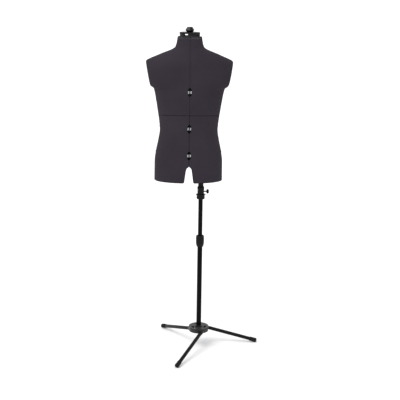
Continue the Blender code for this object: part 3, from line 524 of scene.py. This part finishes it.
def enamel(name, shine):
    """Black stove enamel with a faint orange peel."""
    look = Shader(name, (0.0060, 0.0060, 0.0065), 0.32)
    look.set(look.base, "Specular IOR Level", shine)
    look.tint(look.noise(20.0), (0.0020, 0.0020, 0.0023), (0.0032, 0.0032, 0.0036))
    look.link(look.spread(look.noise(60.0), 0.26, 0.40), look.base.inputs["Roughness"])
    look.bump(look.noise(260.0, 1.0), 0.00002, 0.3)
    return look.material


def zinc():
    look = Shader("zinc_plate", (0.50, 0.51, 0.53), 0.34, 1.0)
    look.tint(look.noise(45.0, 4.0), (0.40, 0.41, 0.43), (0.58, 0.59, 0.60))
    look.link(look.spread(look.noise(120.0), 0.25, 0.45), look.base.inputs["Roughness"])
    return look.material


def rubber():
    look = Shader("black_rubber", (0.009, 0.009, 0.009), 0.72)
    look.set(look.base, "Specular IOR Level", 0.10)
    look.tint(look.noise(60.0), (0.0075, 0.0075, 0.0075), (0.0115, 0.0115, 0.0115))
    look.bump(look.noise(700.0), 0.00008, 0.7)
    return look.material


def studio_floor():
    look = Shader("studio_floor", (0.91, 0.91, 0.91), 0.9)
    look.set(look.base, "Specular IOR Level", 0.0)
    return look.material


# ================================================================== turned pieces
def rounded(profile, radius, steps=3):
    """Round the corners of a (radius, height) outline; its ends stay as they are."""
    points = [Vector(point) for point in profile]
    result = [points[0]]
    for before, corner, after in zip(points, points[1:], points[2:]):
        trim = min(radius, (before - corner).length * 0.45, (after - corner).length * 0.45)
        start = corner + (before - corner).normalized() * trim
        end = corner + (after - corner).normalized() * trim
        for step in range(steps + 1):
            t = step / steps
            result.append(start * (1 - t) ** 2 + corner * 2 * t * (1 - t) + end * t * t)
    return result + [points[-1]]


def add_piece(name, mesh, material, body, nodes=()):
    piece = bpy.data.objects.new(name, mesh)
    bpy.context.scene.collection.objects.link(piece)
    piece.data.materials.append(material)
    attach(piece, body)
    if nodes:
        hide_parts(*nodes)
    return piece


def turned_mesh(name, profile, start=(0, 0, 0), direction=(0, 0, 1), sides=64, radius=0.0006,
                ripple=None):
    """A turned piece; ripple(angle, radius, height) may change a point's radius."""
    outline = rounded(profile, radius)
    shape = bmesh.new()
    turn = Vector(direction).to_track_quat("Z", "Y").to_matrix().to_4x4()
    place = Matrix.Translation(start) @ turn
    rings = []
    for distance, height in outline:
        ring = []
        for side in range(sides if distance > 1e-6 else 1):
            angle = 2 * math.pi * side / sides
            out = ripple(angle, distance, height) if ripple else distance
            ring.append(shape.verts.new(place @ Vector(
                (out * math.cos(angle), out * math.sin(angle), height))))
        rings.append(ring)
    for above, below in zip(rings, rings[1:]):
        for side in range(sides):
            after = (side + 1) % sides
            corners = [above[side % len(above)], below[side % len(below)],
                       below[after % len(below)], above[after % len(above)]]
            distinct = list(dict.fromkeys(corners))
            if len(distinct) > 2:
                shape.faces.new(distinct)
    bmesh.ops.recalc_face_normals(shape, faces=shape.faces)
    mesh = bpy.data.meshes.new(name)
    shape.to_mesh(mesh)
    shape.free()
    mesh.shade_smooth()
    mesh.set_sharp_from_angle(angle=math.radians(38))
    return mesh


def ribs(count, depth, low, high, above=0.0):
    """Shallow grooves round the part of a turned piece between two heights."""
    def change(angle, radius, height):
        if not low <= height <= high or radius < above:
            return radius
        return radius - depth * (0.5 - 0.5 * math.cos(count * angle)) ** 2
    return change


def middle(node):
    low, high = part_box(node)
    return (Vector(low) + Vector(high)) / 2


def size(node):
    low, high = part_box(node)
    return Vector(high) - Vector(low)


def heights(node):
    low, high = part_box(node)
    return low[2], high[2]


def far_rings(node, centre):
    """The middles of a slanting tube's two ends, nearest the centre first."""
    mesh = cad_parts[node].data
    places = sorted((vertex.co.copy() for vertex in mesh.vertices),
                    key=lambda place: (place.xy - centre.xy).length)
    count = len(places) // 2
    near = sum(places[:count], Vector()) / count
    far = sum(places[-count:], Vector()) / count
    return near, far


# ================================================================== torso pieces
def torso_centre():
    """The middle of the gaps between the quarter panels, on the floor plan."""
    left_low, front_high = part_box("cover_upper_front_left")
    _, right_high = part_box("cover_upper_front_right")
    back_low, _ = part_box("cover_upper_back_left")
    return Vector(((left_low[0] + right_high[0]) / 2, (front_high[1] + back_low[1]) / 2, 0))


def make_covers(looks):
    centre = torso_centre()
    for level in ("upper", "lower"):
        for side in ("front", "back"):
            for hand in ("left", "right"):
                body = f"{level}_{side}_{hand}"
                mesh = cover_mesh("jersey_" + body, side, hand, level, centre)
                piece = add_piece("jersey_" + body, mesh, looks["jersey"], body,
                                  ["cover_" + body])


def softened(node, material, body, width=0.0006):
    """A copy of a node's solid with small rounded edges."""
    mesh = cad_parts[node].data.copy()
    shape = bmesh.new()
    shape.from_mesh(mesh)
    bmesh.ops.dissolve_limit(shape, angle_limit=math.radians(1), verts=shape.verts,
                             edges=shape.edges)
    sharp = [edge for edge in shape.edges
             if len(edge.link_faces) == 2 and edge.calc_face_angle() > math.radians(35)]
    bmesh.ops.bevel(shape, geom=sharp, offset=width, segments=2, profile=0.5,
                    affect="EDGES", clamp_overlap=True)
    shape.to_mesh(mesh)
    shape.free()
    mesh.materials.clear()
    mesh.shade_smooth()
    mesh.set_sharp_from_angle(angle=math.radians(40))
    return add_piece("soft_" + node, mesh, material, body, [node])


def wheel_mesh(name, centre, direction):
    """A knurled thumbwheel on a sleeve with a coarse thread."""
    long, bore, half = SLEEVE_REACH, SLEEVE_BORE, WHEEL_HALF
    sleeve, radius = SLEEVE_RADIUS, WHEEL_RADIUS
    root = sleeve - THREAD_DEPTH
    outline = [(bore, long), (sleeve - 0.0006, long)]
    for turn in range(int((long - half) / THREAD_PITCH)):
        top = long - turn * THREAD_PITCH
        outline += [(root, top - THREAD_PITCH * 0.25), (sleeve, top - THREAD_PITCH * 0.5),
                    (root, top - THREAD_PITCH * 0.95)]
    outline += [(sleeve, half + 0.0005), (radius * 0.45, half), (radius * 0.5, half - 0.0008),
                (radius * 0.82, half - 0.0008), (radius * 0.86, half), (radius, half)]
    outline += [(distance, -height) for distance, height in reversed(outline)]
    knurl = ribs(KNURLS, KNURL_DEPTH, -half, half, above=radius * 0.95)
    return turned_mesh(name, outline, centre, direction, 160, 0.0002, knurl)


def make_index_pads(row, face, looks):
    """The light pads on a yoke's two cheeks, one each side of the wheel."""
    out = OUTWARDS[face]
    aside = Vector((-out.y, out.x, 0))
    body = f"yoke_chest_{face}" if row == "chest" else f"rail_{face}"
    centre = middle(f"wheel_{row}_{face}") + out * PAD_OUT
    for name, sign in (("near", -1), ("far", 1)):
        corners = [centre + out * depth + aside * sign * across + Vector((0, 0, rise))
                   for depth, across, rise in zip(PAD_DEPTHS, PAD_ACROSS, PAD_RISE)]
        low = [min(pair) for pair in zip(*corners)]
        high = [max(pair) for pair in zip(*corners)]
        name = f"pad_{row}_{face}_{name}"
        add_piece(name, block_mesh(name, low, high, PAD_EDGE), looks["grey"], body)


def make_adjusters(looks):
    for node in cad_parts:
        if node.startswith("wheel_"):
            across = size(node)
            direction = (1, 0, 0) if across.x > across.y else (0, 1, 0)
            mesh = wheel_mesh("knurled_" + node, middle(node), direction)
            add_piece("knurled_" + node, mesh, looks["gloss_black"], node, [node])
            make_index_pads(*node.split("_")[1:], looks)
        elif node.startswith(("yoke_", "rail_")):
            softened(node, looks["black"], node, FINE_EDGE)


# ================================================================== neck
def arc_mesh(name, centre, inner, outer, start, end, low, high):
    """A curved wall between two angles, with rounded edges."""
    shape = bmesh.new()
    angles = np.linspace(start, end, max(6, round((end - start) * 18)))
    rings = []
    for level in (low, high):
        for radius in (inner, outer):
            rings.append([shape.verts.new((centre.x + radius * math.cos(angle),
                                           centre.y + radius * math.sin(angle), level))
                          for angle in angles])
    low_in, low_out, high_in, high_out = rings
    for one, other in ((low_in, low_out), (low_out, high_out), (high_out, high_in),
                       (high_in, low_in)):
        for i in range(len(angles) - 1):
            shape.faces.new((one[i], other[i], other[i + 1], one[i + 1]))
    for i in (0, -1):
        shape.faces.new((low_in[i], low_out[i], high_out[i], high_in[i]))
    bmesh.ops.recalc_face_normals(shape, faces=shape.faces)
    sharp = [edge for edge in shape.edges if edge.calc_face_angle() > math.radians(60)]
    bmesh.ops.bevel(shape, geom=sharp, offset=0.0005, segments=2, profile=0.5,
                    affect="EDGES")
    mesh = bpy.data.meshes.new(name)
    shape.to_mesh(mesh)
    shape.free()
    mesh.shade_smooth()
    mesh.set_sharp_from_angle(angle=math.radians(50))
    return mesh


def make_neck(looks):
    """The windowed drum: a lid, a floor and a boss, joined by four curved walls."""
    base, top = heights("neck_drum")
    centre = middle("neck_drum")
    origin = (centre.x, centre.y, 0)
    radius = size("neck_drum").x / 2
    outer = radius - 0.0006
    inner = outer - DRUM_WALL_THICK
    lid, floor, hole = top - 0.006, base + 0.003, 0.0046
    lid_mesh = turned_mesh("drum_lid", [
        (hole, top), (0.016, top), (0.017, top - 0.0008), (radius * 0.78, top - 0.0008),
        (radius * 0.80, top), (radius - 0.003, top), (radius - 0.0008, top - 0.001),
        (radius, top - 0.003), (radius, lid), (0.009, lid), (hole, lid)],
        origin, sides=96)
    add_piece("drum_lid", lid_mesh, looks["black"], "upper_frame", ["neck_drum"])
    floor_mesh = turned_mesh("drum_floor", [
        (hole, floor), (outer, floor), (outer, base), (hole, base)], origin, sides=96)
    # The drum floor's grey colour is a painted reflection of the bright surroundings on black
    # plastic, with random mottling.
    add_piece("drum_floor", floor_mesh, looks["smoke"], "upper_frame")
    boss = turned_mesh("drum_boss", [
        (hole, lid + 0.001), (0.009, lid + 0.001), (0.0098, floor - 0.001),
        (hole, floor - 0.001)], origin)
    add_piece("drum_boss", boss, looks["grey"], "upper_frame")
    half_opening = math.asin(DRUM_OPENING_WIDTH / 2 / outer)
    next_openings = DRUM_OPENINGS[1:] + (DRUM_OPENINGS[0] + 360,)
    for number, ends in enumerate(zip(DRUM_OPENINGS, next_openings)):
        start, end = (math.radians(angle) for angle in ends)
        wall = arc_mesh(f"drum_wall_{number}", centre, inner, outer, start + half_opening,
                        end - half_opening, floor - 0.0005, lid + 0.0005)
        add_piece(wall.name, wall, looks["gloss_black"], "upper_frame")
    # A light grey strip inside the wall: painted highlight seen through the front opening.
    start, end = (math.radians(angle) for angle in DRUM_HIGHLIGHT_STRIP)
    highlight_strip = arc_mesh("drum_painted_highlight", centre, inner - 0.0010, inner + 0.0004, start, end,
                     floor - 0.0005, lid + 0.0005)
    add_piece("drum_painted_highlight", highlight_strip, looks["grey"], "upper_frame")
    softened("neck_knob", looks["gloss_black"], "neck_knob", BOLD_EDGE)


# ================================================================== pole
def make_pole(looks):
    steel, black = looks["enamel"], looks["black"]
    centre = middle("lower_tube")
    origin = (centre.x, centre.y, 0)
    for node, body in (("lower_tube", "base"), ("upper_tube", "pole")):
        base, top = heights(node)
        radius = size(node).x / 2
        mesh = turned_mesh("bright_" + node, [
            (radius - TUBE_WALL, base), (radius - TUBE_WALL, top), (radius, top),
            (radius, base), (radius - TUBE_WALL, base)], origin)
        add_piece("bright_" + node, mesh, steel, body, [node])
    make_collars(origin, black)
    make_socket(origin, black, looks)


def block_mesh(name, low, high, edge):
    """A block between two corners, with rounded edges."""
    shape = bmesh.new()
    low, high = Vector(low), Vector(high)
    bmesh.ops.create_cube(shape, matrix=Matrix.LocRotScale(
        (low + high) / 2, None, high - low))
    bmesh.ops.bevel(shape, geom=shape.edges[:], offset=edge, segments=3, profile=0.5,
                    affect="EDGES")
    mesh = bpy.data.meshes.new(name)
    shape.to_mesh(mesh)
    shape.free()
    mesh.shade_smooth()
    mesh.set_sharp_from_angle(angle=math.radians(40))
    return mesh


def ring_profile(outside, bore, base, top):
    return [(bore, base), (bore, top)] + outside + [(bore, base)]


def make_collars(origin, black):
    base, split = heights("collar_body")
    radius = size("collar_body").x / 2
    outside = [(radius - 0.0007, split), (radius, split - 0.0012), (radius, split - 0.008),
               (radius - 0.0015, split - 0.016), (0.0165, base), (0.0163, base)]
    mesh = turned_mesh("clamp_body", ring_profile(outside, LOWER_TUBE_GRIP, base, split), origin,
                       sides=96, radius=0.0008)
    add_piece("clamp_body", mesh, black, "base", ["collar_body"])
    base, top = heights("collar_ring")
    outside = [(radius - 0.0025, top), (radius - 0.0005, top - 0.002),
               (radius - 0.0002, top - 0.006), (radius, base + 0.006),
               (radius, base + 0.001), (radius - 0.001, base)]
    outside = outside[:3] + [(radius - 0.0001, (top + base) / 2)] + outside[3:]
    grip = ribs(30, 0.0010, base + 0.004, top - 0.004, above=radius - 0.003)
    mesh = turned_mesh("twist_ring", ring_profile(outside, UPPER_TUBE_SLIP, base, top), origin,
                       sides=180, radius=0.0008, ripple=grip)
    add_piece("twist_ring", mesh, black, "collar_ring", ["collar_ring"])
    base, top = heights("socket_collar")
    radius = size("socket_collar").y / 2
    outside = [(radius, top), (radius - 0.001, (base + top) / 2), (radius, base + 0.004),
               (radius - 0.002, base)]
    profile = ring_profile(outside, UPPER_TUBE_SLIP, base, top)
    mesh = turned_mesh("cup", profile, origin, sides=96)
    add_piece("cup", mesh, black, "pole", ["socket_collar"])
    reach = size("socket_collar").x / 2
    for name, sign in (("cup_ear_right", -1), ("cup_ear_left", 1)):
        low, high = sorted((sign * EAR_START, sign * reach))
        ear = block_mesh(name, (origin[0] + low, origin[1] - EAR_HALF_WIDTH, top - 0.0045),
                         (origin[0] + high, origin[1] + EAR_HALF_WIDTH, top - 0.0005),
                         BOLD_EDGE)
        add_piece(name, ear, black, "pole")


def make_socket(origin, black, looks):
    base, top = heights("torso_socket")
    ring = size("torso_socket").x / 2
    ring_base, ring_top = SOCKET_RING
    outline = [(UPPER_TUBE_SLIP, base), (SOCKET_FOOT_RADIUS, base),
               (SOCKET_FOOT_RADIUS, ring_base - 0.001), (ring, ring_base), (ring, ring_top),
               (SOCKET_TUBE_RADIUS, ring_top + 0.004), (SOCKET_TUBE_RADIUS, top), (0, top)]
    mesh = turned_mesh("leg_socket", outline, origin, sides=96, radius=0.0007)
    add_piece("leg_socket", mesh, black, "lower_frame", ["torso_socket"])
    low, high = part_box("thumb_screw")
    head, reach = size("thumb_screw").z / 2, high[0] - origin[0]
    shank, near = THUMB_SHANK, THUMB_HEAD_START
    outline = [(0, low[0] - origin[0]), (shank, low[0] - origin[0]), (shank, near),
               (head - 0.005, near), (head, near + 0.005), (head, reach - 0.004),
               (head - 0.004, reach), (0.004, reach), (0.003, reach - 0.0008),
               (0, reach - 0.0008)]
    lobes = ribs(8, 0.0022, near + 0.0005, reach - 0.0005, above=head * 0.6)
    place = (origin[0], origin[1], middle("thumb_screw").z)
    mesh = turned_mesh("thumb_knob", outline, place, (1, 0, 0), 160, BOLD_EDGE, lobes)
    add_piece("thumb_knob", mesh, looks["gloss_black"], "thumb_screw", ["thumb_screw"])


# ================================================================== tripod
def make_tripod(looks):
    centre = middle("lower_tube")
    bore = LEG_RADIUS - TUBE_WALL
    for name in ("right", "back", "front"):
        node = "leg_" + name
        start, end = far_rings(node, centre)
        direction = (end - start).normalized()
        length = (end - start).length
        mesh = turned_mesh("tube_" + node, [
            (bore, 0), (bore, length), (LEG_RADIUS, length), (LEG_RADIUS, 0), (bore, 0)],
            start, direction, 48)
        add_piece("tube_" + node, mesh, looks["leg_enamel"], "base", [node])
        softened("foot_cap_" + name, looks["rubber"], "base", BOLD_EDGE)
    softened("hub_casting", looks["cast_black"], "base", 0.0009)
    softened("hub_cover", looks["black"], "base")
    softened("hub_bolt", looks["zinc"], "base", FINE_EDGE)


def dress_kept_nodes(looks):
    """Give the solids that stay their materials."""
    for node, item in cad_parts.items():
        if node.startswith("shell_"):
            item.material_slots[0].material = looks["shell"]
        elif node in ("hip_plate", "chest_plate", "lower_mast", "upper_mast"):
            item.material_slots[0].material = looks["zinc"]


# ================================================================== studio
def make_studio():
    scene = bpy.context.scene
    scene.view_settings.view_transform = "Standard"
    scene.world = bpy.data.worlds.new("studio")
    scene.world.use_nodes = True
    background = scene.world.node_tree.nodes["Background"]
    background.inputs["Color"].default_value = (0.975, 0.985, 1, 1)
    background.inputs["Strength"].default_value = WORLD_STRENGTH
    lamp = bpy.data.lights.new("key", "SUN")
    lamp.energy = SUN_STRENGTH
    lamp.angle = SUN_SOFTNESS
    lamp.color = (1.0, 0.96, 0.92)
    key = bpy.data.objects.new("key", lamp)
    key.rotation_euler = Vector(SUN_TOWARDS).to_track_quat("Z", "Y").to_euler()
    scene.collection.objects.link(key)
    mesh = bpy.data.meshes.new("floor")
    shape = bmesh.new()
    bmesh.ops.create_grid(shape, x_segments=1, y_segments=1, size=FLOOR_HALF)
    shape.to_mesh(mesh)
    shape.free()
    floor = bpy.data.objects.new("floor", mesh)
    floor.location.z = -0.0002
    mesh.materials.append(studio_floor())
    scene.collection.objects.link(floor)


def make_camera():
    pole = middle("lower_tube")
    heading = Vector((math.sin(CAMERA_TURN), math.cos(CAMERA_TURN), 0))
    aside = Vector((heading.y, -heading.x, 0))
    place = Vector((pole.x, pole.y, CAMERA_HEIGHT)) - heading * CAMERA_DISTANCE
    place += aside * CAMERA_ASIDE
    look = heading * math.cos(CAMERA_PITCH) - Vector((0, 0, math.sin(CAMERA_PITCH)))
    up = aside.cross(look)
    right = aside * math.cos(CAMERA_ROLL) + up * math.sin(CAMERA_ROLL)
    over = up * math.cos(CAMERA_ROLL) - aside * math.sin(CAMERA_ROLL)
    data = bpy.data.cameras.new("camera")
    data.lens = CAMERA_LENS
    data.sensor_width = 36
    camera = bpy.data.objects.new("camera", data)
    camera.matrix_world = Matrix((
        (right.x, over.x, -look.x, place.x), (right.y, over.y, -look.y, place.y),
        (right.z, over.z, -look.z, place.z), (0, 0, 0, 1)))
    bpy.context.scene.collection.objects.link(camera)
    bpy.context.scene.camera = camera


def make_looks():
    return {
        "jersey": jersey(),
        "shell": plastic("panel_plastic", (0.026, 0.025, 0.028), 0.55),
        "gloss_black": plastic("gloss_black", (0.0050, 0.0050, 0.0055), 0.28, 0.00001, 0.2),
        "black": plastic("satin_black", (0.0060, 0.0060, 0.0065), 0.42),
        "grey": plastic("grey_plastic", (0.34, 0.34, 0.36), 0.5, shine=0.3),
        # Grey drum floor: a painted reflection of the bright surroundings, with random mottling.
        "smoke": plastic("drum_floor_painted_reflection", (0.055, 0.055, 0.060), 0.5, 0.0003),
        "cast_black": cast_black(),
        "enamel": enamel("pole_enamel", 0.06),
        "leg_enamel": enamel("leg_enamel", 0.16),
        "zinc": zinc(),
        "rubber": rubber(),
    }


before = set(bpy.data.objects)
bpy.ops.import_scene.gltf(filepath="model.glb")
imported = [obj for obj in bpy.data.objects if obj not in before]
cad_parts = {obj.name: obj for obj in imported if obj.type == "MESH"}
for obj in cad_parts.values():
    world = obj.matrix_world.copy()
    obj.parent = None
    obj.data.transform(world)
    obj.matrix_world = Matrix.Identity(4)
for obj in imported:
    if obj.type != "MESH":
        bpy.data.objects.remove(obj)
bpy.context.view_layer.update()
looks = make_looks()
make_camera()
make_studio()
make_covers(looks)
make_adjusters(looks)
make_neck(looks)
make_pole(looks)
make_tripod(looks)
dress_kept_nodes(looks)
